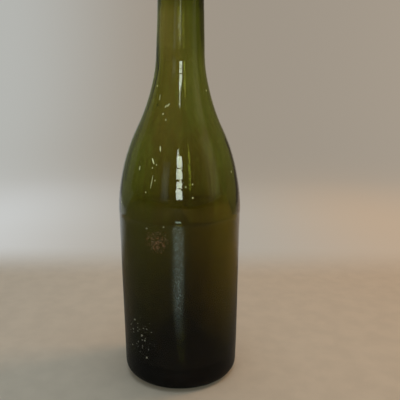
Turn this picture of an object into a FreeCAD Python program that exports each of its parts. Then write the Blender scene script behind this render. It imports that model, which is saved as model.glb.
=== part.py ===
import FreeCAD
import Part

import math
import os

# Antique wine bottle: mould-blown green glass, an applied glass lip and a cork.
# The bottle stands on the XY plane with its axis on +Z, and sizes are in millimetres.
# Every piece is a turned form, drawn as a half section of (radius, height) and revolved.

# Blown bottle, outside
BODY_HEIGHT = 117.7            # up to the mould line, the top of the dip mould
BODY_RADIUS = 42.0             # at the mould line, where the free-blown shoulder begins
MOULD_LEDGE = 0.3              # how far the shoulder stands proud of the moulded body
FOOT_RADIUS = 40.0             # the mould narrows downwards, so that the body could be drawn out
HEEL_RADIUS = 8.2
REST_RING_WIDTH = 3.2          # flat worn on the glass where the bottle stands
SHOULDER_RISE = 110.8          # from the mould line to the root of the straight neck
SHOULDER_ARC_RADIUS = 133.2
NECK_LENGTH = 71.5             # from the root of the neck to the mouth
NECK_ROOT_RADIUS = 15.7
NECK_TAPER_DEG = 1.4
RIM_OUTER_ROUND = 1.2          # fire-polished edges of the cut neck
RIM_INNER_ROUND = 1.5
RIM_ROUND_LIMIT = 0.45         # largest share of the rim's wall that one of its rounds takes

# Blown bottle, inside
NECK_WALL = 2.5                # wall of the lower neck and of the sweep below it
BODY_WALL = 3.6                # widest wall of the shoulder, near the mould line
FOOT_WALL = 5.0                # wall at the foot of the body
BASE_THICKNESS = 10.0          # glass under the deepest part of the inside
BORE_RADIUS = 9.4              # the part of the neck that grips a cork
BORE_LENGTH = 24.0
FLARE_LENGTH = 26.0            # below the bore the inside widens to the thin wall of the neck
FLARE_ROUND = 60.0

# Push-up of the base, a bell with a wide skirt
PUNT_DEPTH = 33.0
PUNT_APEX_RADIUS = 8.0
PUNT_FLANK_DEG = 20.4          # lean of its flank from upright
PUNT_WALL = 7.0

# Applied lip: a second gather of glass, wound round the end of the neck and tooled to a band
LIP_THICKNESS = 2.1
LIP_HEIGHT = 13.5
LIP_SETBACK = 1.5              # the cut end of the neck stands above the band
LIP_TOP_ROUND = 1.5
LIP_FOOT_ROUND = 1.9

# Cork: cut with a taper, squeezed to a plug where it is in the bore
CORK_CLEARANCE = 0.05
CORK_GRIP_LENGTH = 22.0
CORK_PROUD_LENGTH = 14.0
CORK_HEAD_SWELL = 1.85         # how much further the free head reaches out than the plug
CORK_RIM_GAP = 0.6             # the squeezed plug reaches this far above the mouth
CORK_SWELL_LENGTH = 3.4        # height over which it swells back to the head
CORK_SWELL_ROUND = 2.0
CORK_PLUG_CHAMFER = 0.9
CORK_HEAD_ROUND = 1.1

NECK_ROOT_HEIGHT = BODY_HEIGHT + SHOULDER_RISE
MOUTH_HEIGHT = NECK_ROOT_HEIGHT + NECK_LENGTH

CORNER_LIMIT = 0.95            # largest share of an edge that the round of a corner takes
AXIS_FOOT = FreeCAD.Vector(0, 0, 0)
AXIS_UP = FreeCAD.Vector(0, 0, 1)
QUARTER_TURN = math.pi / 2
HALF_TURN = math.pi


def spot(radius, height):
    """A point of a half section."""
    return FreeCAD.Vector(radius, 0, height)


def along(angle):
    """Unit vector of a half section, at an angle from the radial direction."""
    return spot(math.cos(angle), math.sin(angle))


def tangent_angle(centre_a, radius_a, centre_b, radius_b):
    """Angle of the normal of a line that touches two circles.

    The line touches each circle at centre + radius * normal, and a radius of zero
    is a point.  Of the two such lines this is the one whose normal is turned clockwise
    from the line of centres, seen with the radius to the right and the height upwards.
    """
    gap = centre_a - centre_b
    return math.atan2(gap.z, gap.x) - math.acos((radius_b - radius_a) / gap.Length)


class Outline:
    """Half section that is drawn edge by edge from a start point."""

    def __init__(self, start):
        self.start = start
        self.here = start
        self.edges = []

    def line(self, end):
        """Straight edge to a point."""
        if not end.isEqual(self.here, 1e-7):
            self.edges.append(Part.LineSegment(self.here, end).toShape())
            self.here = end

    def bend(self, middle, end):
        """Arc through a middle point to an end point."""
        self.edges.append(Part.Arc(self.here, middle, end).toShape())
        self.here = end

    def arc(self, centre, radius, start_angle, end_angle):
        """Straight edge to where an arc begins, and the arc about its centre."""
        self.line(centre + along(start_angle) * radius)
        middle_angle = (start_angle + end_angle) / 2
        self.bend(centre + along(middle_angle) * radius, centre + along(end_angle) * radius)

    def corner(self, point, towards, radius):
        """Straight edge to a rounded corner, after which the outline heads for another point."""
        arriving = point - self.here
        leaving = towards - point
        half_bend = arriving.getAngle(leaving) / 2
        room = CORNER_LIMIT * min(arriving.Length, leaving.Length)
        setback = min(radius * math.tan(half_bend), room)
        radius = setback / math.tan(half_bend)
        arriving.normalize()
        leaving.normalize()
        inwards = (leaving - arriving).normalize()
        to_arc = radius / math.cos(half_bend) - radius
        self.line(point - arriving * setback)
        self.bend(point + inwards * to_arc, point + leaving * setback)

    def turned(self):
        """Solid of revolution of the closed outline."""
        self.line(self.start)
        section = Part.Face(Part.Wire(self.edges))
        solid = section.revolve(AXIS_FOOT, AXIS_UP, 360)
        return solid if solid.Volume > 0 else solid.reversed()


class BottleForm:
    """Centres, radii and angles that the outside and the inside of the bottle share."""

    def __init__(self):
        self.heel = spot(FOOT_RADIUS - HEEL_RADIUS, HEEL_RADIUS)
        self.shoulder = spot(BODY_RADIUS - SHOULDER_ARC_RADIUS, BODY_HEIGHT)
        self.taper = math.radians(NECK_TAPER_DEG)

        # The sweep up to the neck touches the shoulder's arc, and touches the neck at its root.
        root = self.neck_surface(NECK_ROOT_HEIGHT)
        reach = root - self.shoulder
        out = along(self.taper)
        spare = SHOULDER_ARC_RADIUS - reach.dot(out)
        self.sweep_radius = (reach.dot(reach) - SHOULDER_ARC_RADIUS ** 2) / (2 * spare)
        self.sweep = root + out * self.sweep_radius
        to_sweep = self.sweep - self.shoulder
        self.turn = math.atan2(to_sweep.z, to_sweep.x)

        # The inside of the shoulder leaves the sweep at the neck's wall and widens to the body's.
        drawn_in = (BODY_WALL - NECK_WALL) / (1 - math.cos(self.turn))
        self.inner_radius = SHOULDER_ARC_RADIUS - NECK_WALL - drawn_in
        self.inner_shoulder = self.shoulder + along(self.turn) * drawn_in

        # The flank of the push-up runs from its round top to a skirt, which meets the rest ring.
        self.apex = spot(0, PUNT_DEPTH - PUNT_APEX_RADIUS)
        self.flank = math.radians(PUNT_FLANK_DEG)
        lean = along(self.flank)
        flank_reach = self.apex.dot(lean) + PUNT_APEX_RADIUS
        ring_inside = self.heel.x - REST_RING_WIDTH
        self.skirt_radius = (ring_inside * lean.x - flank_reach) / (1 - lean.z)
        self.skirt = spot(ring_inside, self.skirt_radius)

        # Inside, a round valley touches the flank's upper side, the base and the wall of the body.
        foot_corner = spot(FOOT_RADIUS - FOOT_WALL, BASE_THICKNESS)
        valley_room = foot_corner.dot(lean) - flank_reach - PUNT_WALL
        self.valley_radius = valley_room / (1 + lean.x - lean.z)
        self.valley = foot_corner + spot(-self.valley_radius, self.valley_radius)

        rim_wall = self.neck_surface(MOUTH_HEIGHT).x - BORE_RADIUS
        self.rim_outer_round = min(RIM_OUTER_ROUND, rim_wall * RIM_ROUND_LIMIT)
        self.rim_inner_round = min(RIM_INNER_ROUND, rim_wall * RIM_ROUND_LIMIT)

    def neck_surface(self, height):
        """Point on the outside of the straight neck."""
        above_root = height - NECK_ROOT_HEIGHT
        return spot(NECK_ROOT_RADIUS - above_root * math.tan(self.taper), height)

    def draw_underside(self):
        """From the top of the push-up down to the rest ring."""
        outline = Outline(spot(0, PUNT_DEPTH))
        outline.arc(self.apex, PUNT_APEX_RADIUS, QUARTER_TURN, self.flank)
        outline.arc(self.skirt, self.skirt_radius, HALF_TURN + self.flank, HALF_TURN + QUARTER_TURN)
        return outline

    def draw_outside(self, outline):
        """From the rest ring up to the cut end of the neck."""
        body_top = spot(BODY_RADIUS - MOULD_LEDGE, BODY_HEIGHT - MOULD_LEDGE)
        side = tangent_angle(body_top, 0, self.heel, HEEL_RADIUS)
        outline.arc(self.heel, HEEL_RADIUS, -QUARTER_TURN, side)
        outline.line(body_top)
        outline.arc(self.shoulder, SHOULDER_ARC_RADIUS, 0, self.turn)
        outline.arc(self.sweep, self.sweep_radius, HALF_TURN + self.turn, HALF_TURN + self.taper)
        rim_edge = self.neck_surface(MOUTH_HEIGHT)
        outline.corner(rim_edge, spot(BORE_RADIUS, MOUTH_HEIGHT), self.rim_outer_round)

    def draw_inside(self, outline):
        """From the mouth down the bore and the wall to the top of the push-up."""
        rim = spot(BORE_RADIUS + self.rim_inner_round, MOUTH_HEIGHT - self.rim_inner_round)
        outline.arc(rim, self.rim_inner_round, QUARTER_TURN, HALF_TURN)

        wall = along(self.taper) * NECK_WALL
        bore_foot = spot(BORE_RADIUS, MOUTH_HEIGHT - BORE_LENGTH)
        flare_foot = self.neck_surface(bore_foot.z - FLARE_LENGTH) - wall
        neck_foot = self.neck_surface(NECK_ROOT_HEIGHT) - wall
        outline.corner(bore_foot, flare_foot, FLARE_ROUND)
        outline.corner(flare_foot, neck_foot, FLARE_ROUND)

        sweep_radius = self.sweep_radius + NECK_WALL
        outline.arc(self.sweep, sweep_radius, HALF_TURN + self.taper, HALF_TURN + self.turn)
        side = tangent_angle(self.inner_shoulder, self.inner_radius, self.valley, self.valley_radius)
        outline.arc(self.inner_shoulder, self.inner_radius, self.turn, side)
        outline.arc(self.valley, self.valley_radius, side, self.flank - HALF_TURN)
        outline.arc(self.apex, PUNT_APEX_RADIUS + PUNT_WALL, self.flank, QUARTER_TURN)


def make_bottle(form):
    """The blown bottle in one piece of glass, from the rest ring to the cut end of the neck."""
    outline = form.draw_underside()
    form.draw_outside(outline)
    form.draw_inside(outline)
    return outline.turned()


def make_contents(form):
    """What the bottle holds when it is filled to the brim."""
    outline = Outline(spot(0, MOUTH_HEIGHT))
    form.draw_inside(outline)
    return outline.turned()


def make_lip(form):
    """Band of glass round the end of the neck, with its inside on the neck's own surface."""
    top = MOUTH_HEIGHT - LIP_SETBACK
    foot = top - LIP_HEIGHT
    seat = form.neck_surface(foot)
    band_foot = spot(seat.x + LIP_THICKNESS, foot)
    band_top = spot(band_foot.x, top)
    outline = Outline(seat)
    outline.corner(band_foot, band_top, LIP_FOOT_ROUND)
    outline.corner(band_top, form.neck_surface(top), LIP_TOP_ROUND)
    outline.line(form.neck_surface(top))
    return outline.turned()


def make_cork():
    """Stopper with a plug that fills the bore and a head that swells above the mouth."""
    plug_radius = BORE_RADIUS - CORK_CLEARANCE
    foot = MOUTH_HEIGHT - CORK_GRIP_LENGTH
    plug_top = spot(plug_radius, MOUTH_HEIGHT + CORK_RIM_GAP)
    head_foot = plug_top + spot(CORK_HEAD_SWELL, CORK_SWELL_LENGTH)
    head_top = spot(head_foot.x, MOUTH_HEIGHT + CORK_PROUD_LENGTH)
    crown = spot(0, head_top.z)
    outline = Outline(spot(0, foot))
    outline.line(spot(plug_radius - CORK_PLUG_CHAMFER, foot))
    outline.line(spot(plug_radius, foot + CORK_PLUG_CHAMFER))
    outline.corner(plug_top, head_foot, CORK_SWELL_ROUND)
    outline.corner(head_foot, head_top, CORK_SWELL_ROUND)
    outline.corner(head_top, crown, CORK_HEAD_ROUND)
    outline.line(crown)
    return outline.turned()


def main():
    """Make the pieces, write a STEP file for each and print what the bottle holds."""
    form = BottleForm()
    pieces = {
        "blown_bottle": make_bottle(form),
        "applied_lip": make_lip(form),
        "cork_stopper": make_cork(),
    }
    os.makedirs("parts", exist_ok=True)
    for name, solid in pieces.items():
        solid.exportStep(os.path.join("parts", name + ".step"))
        print(f"{name}: {solid.Volume / 1000:.1f} cm3, valid {solid.isValid()}")
    print(f"the bottle holds {make_contents(form).Volume / 1000:.0f} ml to the brim")


main()
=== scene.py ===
import logging
import math
import random
from dataclasses import dataclass, field
from enum import Enum
from functools import cached_property

import bmesh
import bpy
from mathutils import Matrix, Vector, noise


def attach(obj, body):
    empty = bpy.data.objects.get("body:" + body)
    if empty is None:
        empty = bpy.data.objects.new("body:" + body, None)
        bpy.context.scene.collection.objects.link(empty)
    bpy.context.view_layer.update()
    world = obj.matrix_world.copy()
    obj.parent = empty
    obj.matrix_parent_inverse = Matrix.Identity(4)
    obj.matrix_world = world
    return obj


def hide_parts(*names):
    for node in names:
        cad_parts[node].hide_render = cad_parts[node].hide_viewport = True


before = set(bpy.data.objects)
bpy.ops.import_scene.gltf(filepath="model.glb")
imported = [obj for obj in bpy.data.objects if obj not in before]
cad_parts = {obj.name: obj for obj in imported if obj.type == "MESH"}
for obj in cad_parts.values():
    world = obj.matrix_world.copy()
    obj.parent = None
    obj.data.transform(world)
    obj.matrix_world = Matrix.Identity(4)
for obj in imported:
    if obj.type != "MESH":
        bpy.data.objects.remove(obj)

LOG = logging.getLogger("bottle")
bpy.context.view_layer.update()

MM = 0.001                      # metres in a millimetre: pieces are drawn in millimetres
SLACK = 0.02                    # share of a pace that is too short to draw
FINEST_TURN = 0.16              # most radians that one edge of an arc may take
ON_AXIS = 1e-6                  # millimetres from the axis within which a point has no direction
WELD = 1e-4                     # millimetres within which two points are one
SEED_REACH = 0.5                # millimetres above and below a seed between which the slope is read
STRAY_DRAW = 1880               # start of the random draws that place the stray seeds
AXIS = Vector((0.0, 0.0, 1.0))
ACROSS_SECTION = Vector((0.0, -1.0, 0.0))
SIDEWAYS = Vector((1.0, 0.0, 0.0))
QUARTER_TURN = math.pi / 2
HALF_TURN = math.pi

Triple = tuple[float, float, float]
Colour = Triple
Socket = bpy.types.NodeSocket
Value = float | Triple | Socket
Inputs = dict[str | int, Value]

PLAIN: Triple = (1.0, 1.0, 1.0)


class Skin(Enum):
    """Surface that a stretch of a half section belongs to."""

    POLISHED = "blown free of the mould"
    MOULDED = "pressed against the mould"
    INSIDE = "facing the hollow"


class Ray(Enum):
    """Kinds of ray that the studio tells apart."""

    CAMERA = "Is Camera Ray"
    GLOSSY = "Is Glossy Ray"
    TRANSMISSION = "Is Transmission Ray"


class Residue(Enum):
    """What time has left on the glass, with its colour."""

    RUST = (0.52, 0.08, 0.008)
    CHALK = (0.50, 0.47, 0.37)


@dataclass(frozen=True)
class Fade:
    """Smooth step of a number: start as far as low, and end from high on."""

    low: float
    high: float
    start: float = 0.0
    end: float = 1.0

    def at(self, value: float) -> float:
        """Height of the step at a value."""
        share = min(1.0, max(0.0, (value - self.low) / (self.high - self.low)))
        return self.start + (self.end - self.start) * share * share * (3.0 - 2.0 * share)


@dataclass(frozen=True)
class Grain:
    """Soft random pattern.

    Attributes:
        scale: Lumps in a metre.
        detail: Layers of finer lumps.
        roughness: Strength of the finer layers.
        stretch: Scale along each axis, less than 1 where the lumps are drawn out.
    """

    scale: float
    detail: float = 2.0
    roughness: float = 0.5
    stretch: Triple = PLAIN


@dataclass(frozen=True)
class Sweep:
    """Three colours from left to right, with the places in metres where they change.

    The middle one is None where something else shows there.
    """

    left: Colour
    middle: Colour | None
    right: Colour
    leave_left: Fade
    reach_right: Fade


@dataclass(frozen=True)
class Wander:
    """Slow random unevenness of a turned skin.

    Attributes:
        swell: Strength in millimetres.
        lumps: Lumps in one radius.
        tall: Height of a lump, in millimetres.
        shift: Where the pattern is read, across the axis.
    """

    swell: float
    lumps: float
    tall: float
    shift: tuple[float, float] = (0.0, 0.0)

    def at(self, out: Vector, height: float) -> float:
        """Unevenness at a direction from the axis and a height."""
        across = Vector((out.x * self.lumps + self.shift[0], out.y * self.lumps + self.shift[1], 0.0))
        return self.swell * noise.noise(across + AXIS * (height / self.tall))


def spot(radius: float, height: float) -> Vector:
    """A point of a half section."""
    return Vector((radius, 0.0, height))


def along(angle: float) -> Vector:
    """Unit vector of a half section, at an angle from the radial direction."""
    return spot(math.cos(angle), math.sin(angle))


class HalfSection:
    """Half section of a turned piece, drawn edge by edge in millimetres.

    Every point remembers its skin in float layers, which the finished mesh keeps
    as the attributes that its material reads. A third layer marks seeds.
    """

    def __init__(self, start: Vector, pace: float) -> None:
        """Begin a section on the polished skin.

        Args:
            start: First point of the section.
            pace: Longest edge of the chain.
        """
        self.mesh = bmesh.new()
        self.pace = pace
        self.skin = Skin.POLISHED
        self.moulded = self.mesh.verts.layers.float.new("moulded")
        self.inside = self.mesh.verts.layers.float.new("inside")
        self.seed = self.mesh.verts.layers.float.new("seed")
        self.tip = bmesh.ops.create_vert(self.mesh, co=start)["vert"][0]
        self.mark([self.tip])

    @property
    def here(self) -> Vector:
        """Point that the section has reached."""
        return self.tip.co.copy()

    def mark(self, points: list[bmesh.types.BMVert]) -> None:
        """Write the present skin on points.

        Args:
            points: The points.
        """
        for point in points:
            point[self.moulded] = float(self.skin is Skin.MOULDED)
            point[self.inside] = float(self.skin is Skin.INSIDE)

    def line(self, end: Vector) -> None:
        """Straight stretch to a point.

        Args:
            end: Where the stretch ends.
        """
        way = end - self.here
        steps = math.ceil(way.length / self.pace - SLACK)
        for _ in range(steps):
            self.tip = bmesh.ops.extrude_vert_indiv(self.mesh, verts=[self.tip])["verts"][0]
            bmesh.ops.translate(self.mesh, verts=[self.tip], vec=way / steps)
            self.mark([self.tip])

    def swing(self, centre: Vector, angle: float) -> None:
        """Arc from the present point.

        Args:
            centre: Centre of the arc.
            angle: Turn in radians, from the radial direction towards the axis' own.
        """
        radius = (self.here - centre).length
        steps = math.ceil(max(abs(angle) / FINEST_TURN, abs(angle) * radius / self.pace))
        known = len(self.mesh.verts)
        swung = bmesh.ops.spin(
            self.mesh, geom=[self.tip], cent=centre, axis=ACROSS_SECTION, angle=angle, steps=steps
        )
        self.tip = swung["geom_last"][0]
        self.mesh.verts.ensure_lookup_table()
        self.mark(self.mesh.verts[known:])

    def arc(self, centre: Vector, radius: float, start: float, end: float) -> None:
        """Straight stretch to where an arc begins, and the arc, between two angles about its centre."""
        self.line(centre + along(start) * radius)
        self.swing(centre, end - start)

    def corner(self, point: Vector, towards: Vector, radius: float) -> None:
        """Straight stretch to a rounded corner, after which the section heads for another point.

        Args:
            point: The corner, as if it were sharp.
            towards: Point that the next stretch heads for.
            radius: Radius of the round.
        """
        arriving = (point - self.here).normalized()
        leaving = (towards - point).normalized()
        square = spot(-arriving.z, arriving.x)
        turn = math.atan2(leaving.dot(square), leaving.dot(arriving))
        touch = point - arriving * radius * math.tan(abs(turn) / 2)
        self.line(touch)
        self.swing(touch + square * math.copysign(radius, turn), turn)

    def turned(self, steps: int) -> bmesh.types.BMesh:
        """Closed skin of the section turned about the axis.

        Args:
            steps: Segments round the axis.

        Returns:
            The mesh, with its faces pointing out of the material.
        """
        section = self.mesh.verts[:] + self.mesh.edges[:]
        bmesh.ops.spin(
            self.mesh, geom=section, cent=Vector(), axis=AXIS, angle=math.tau, steps=steps, use_merge=True
        )
        bmesh.ops.remove_doubles(self.mesh, verts=self.mesh.verts, dist=WELD)
        bmesh.ops.recalc_face_normals(self.mesh, faces=self.mesh.faces)
        return self.mesh


class NodeBench:
    """Bench on which the nodes of one material or world are laid out and joined."""

    def __init__(self, tree: bpy.types.NodeTree) -> None:
        """Clear the tree of what it starts with."""
        self.tree = tree
        tree.nodes.clear()

    @cached_property
    def place(self) -> Socket:
        """Object coordinates, in metres."""
        return self.add("TexCoord").outputs["Object"]

    @cached_property
    def axes(self) -> bpy.types.NodeOutputs:
        """Object coordinates one by one, as X, Y and Z."""
        return self.add("SeparateXYZ", {0: self.place}).outputs

    def add(self, kind: str, inputs: Inputs | None = None, **settings: object) -> bpy.types.Node:
        """Make a node.

        Args:
            kind: Node type, without the words that every shader node begins with.
            inputs: Values or sockets for its inputs, by name or place.
            settings: Properties of the node.

        Returns:
            The node.
        """
        node = self.tree.nodes.new("ShaderNode" + kind)
        for name, setting in settings.items():
            setattr(node, name, setting)
        for name, value in (inputs or {}).items():
            self.feed(node.inputs[name], value)
        return node

    def feed(self, socket: Socket, value: Value) -> None:
        """Join a socket to another one, or set its own value.

        Args:
            socket: The input.
            value: The output that it is joined to, or its value.
        """
        if isinstance(value, bpy.types.NodeSocket):
            self.tree.links.new(value, socket)
        elif isinstance(value, tuple) and socket.type == "RGBA":
            socket.default_value = (*value, 1.0)
        else:
            socket.default_value = value

    def maths(self, operation: str, first: Value, second: Value = 0.0) -> Socket:
        """Result of arithmetic on two numbers."""
        return self.add("Math", {0: first, 1: second}, operation=operation).outputs[0]

    def plus(self, first: Value, second: Value) -> Socket:
        """Sum of two numbers."""
        return self.maths("ADD", first, second)

    def less(self, first: Value, second: Value) -> Socket:
        """First number with the second taken away."""
        return self.maths("SUBTRACT", first, second)

    def times(self, first: Value, second: Value) -> Socket:
        """Product of two numbers."""
        return self.maths("MULTIPLY", first, second)

    def most(self, first: Value, second: Value) -> Socket:
        """Larger of two numbers."""
        return self.maths("MAXIMUM", first, second)

    def under(self, first: Value, second: Value) -> Socket:
        """1 where the first number is less than the second, and 0 elsewhere."""
        return self.maths("LESS_THAN", first, second)

    def vectors(self, operation: str, inputs: Inputs) -> Socket:
        """Result of arithmetic on vectors or colours."""
        return self.add("VectorMath", inputs, operation=operation).outputs[0]

    def scaled(self, colour: Value, share: Value) -> Socket:
        """Colour made lighter or darker."""
        return self.vectors("SCALE", {0: colour, "Scale": share})

    def fade(self, value: Value, fade: Fade) -> Socket:
        """Smooth step of a number."""
        step = {0: value, 1: fade.low, 2: fade.high, 3: fade.start, 4: fade.end}
        return self.add("MapRange", step, interpolation_type="SMOOTHSTEP").outputs[0]

    def blend(self, share: Value, first: Value, second: Value) -> Socket:
        """Number between two others, the second where the share is 1."""
        return self.add("Mix", {0: share, 2: first, 3: second}, data_type="FLOAT").outputs[0]

    def tinge(self, share: Value, first: Value, second: Value) -> Socket:
        """Colour between two others, the second where the share is 1."""
        return self.add("Mix", {0: share, 6: first, 7: second}, data_type="RGBA").outputs[2]

    def across(self, sweep: Sweep, middle: Socket | None = None) -> Socket:
        """Colour that changes from left to right.

        Args:
            sweep: The colours, and where they change.
            middle: What shows in the middle, where the sweep has no colour for it.

        Returns:
            The colour.
        """
        inner = middle if sweep.middle is None else sweep.middle
        colour = self.tinge(self.fade(self.axes["X"], sweep.leave_left), sweep.left, inner)
        return self.tinge(self.fade(self.axes["X"], sweep.reach_right), colour, sweep.right)

    def cloud(self, grain: Grain) -> bpy.types.NodeOutputs:
        """Outputs of a soft random pattern.

        Args:
            grain: The pattern.

        Returns:
            Its Fac, around a half, and its Color.
        """
        place = self.place
        if grain.stretch != PLAIN:
            place = self.vectors("MULTIPLY", {0: place, 1: grain.stretch})
        layers = {"Detail": grain.detail, "Roughness": grain.roughness}
        return self.add("TexNoise", {"Vector": place, "Scale": grain.scale, **layers}).outputs

    def lumps(self, grain: Grain) -> Socket:
        """Soft random number, around a half."""
        return self.cloud(grain)["Fac"]

    def pattern(self, grain: Grain, fade: Fade) -> Socket:
        """Soft random number, stepped."""
        return self.fade(self.lumps(grain), fade)

    def ragged(self, grain: Grain, reach: float) -> Socket:
        """Object coordinates shifted at random by up to a reach, half of it on average."""
        shift = self.cloud(grain)["Color"]
        return self.vectors("MULTIPLY_ADD", {0: shift, 1: (reach, reach, reach), 2: self.place})

    def cells(self, place: Socket, scale: float) -> tuple[Socket, Socket]:
        """Random cells.

        Args:
            place: Coordinates that they are read at.
            scale: Cells in a metre.

        Returns:
            Distance from the cell's centre, in cells, and a number of the cell's own from 0 to 1.
        """
        found = self.add("TexVoronoi", {"Vector": place, "Scale": scale})
        own = self.add("SeparateColor", {0: found.outputs["Color"]})
        return found.outputs["Distance"], own.outputs[0]

    def reach(self, place: Socket, centre: Vector) -> Socket:
        """Distance from a point, in metres."""
        return self.add("VectorMath", {0: place, 1: tuple(centre)}, operation="DISTANCE").outputs["Value"]

    def attribute(self, name: str) -> Socket:
        """Number that the mesh carries."""
        return self.add("Attribute", attribute_name=name).outputs["Fac"]

    def ray(self, kind: Ray) -> Socket:
        """1 for one kind of ray, and 0 for others."""
        return self.add("LightPath").outputs[kind.value]

    def mirrored_ray(self) -> Socket:
        """1 for rays that a polished surface mirrors, and 0 for others and those through glass."""
        return self.times(self.ray(Ray.GLOSSY), self.less(1.0, self.ray(Ray.TRANSMISSION)))

    def shader(self, kind: str, inputs: Inputs) -> Socket:
        """Output of a new shader."""
        return self.add(kind, inputs).outputs[0]

    def mix(self, share: Value, first: Socket, second: Socket) -> Socket:
        """Shader between two others, the second where the share is 1."""
        return self.shader("MixShader", {0: share, 1: first, 2: second})

    def glow(self, colour: Value) -> Socket:
        """Shader that shines with a colour as it is written."""
        return self.shader("Emission", {"Color": colour, "Strength": 1.0})


def new_material(name: str) -> tuple[bpy.types.Material, NodeBench]:
    """Make an empty material.

    Args:
        name: Its name.

    Returns:
        The material, and the bench of its nodes.
    """
    material = bpy.data.materials.new(name)
    material.use_nodes = True
    return material, NodeBench(material.node_tree)


@dataclass(frozen=True)
class Fleck:
    """One mark on the outside of the glass: height and size in millimetres, turn in degrees."""

    height: float
    turn: float
    size: float


@dataclass(frozen=True)
class FleckPatch:
    """Scatter of small marks on the outside of the glass.

    Attributes:
        residue: What the marks are.
        height: Height of the middle, in millimetres.
        turn: Angle of the middle about the axis, in degrees.
        spread: How far the scatter reaches, in millimetres.
        grain: Size of a mark's cell, in millimetres.
        cover: Share of the cells that hold a mark.
    """

    residue: Residue
    height: float
    turn: float
    spread: float
    grain: float
    cover: float


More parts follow.
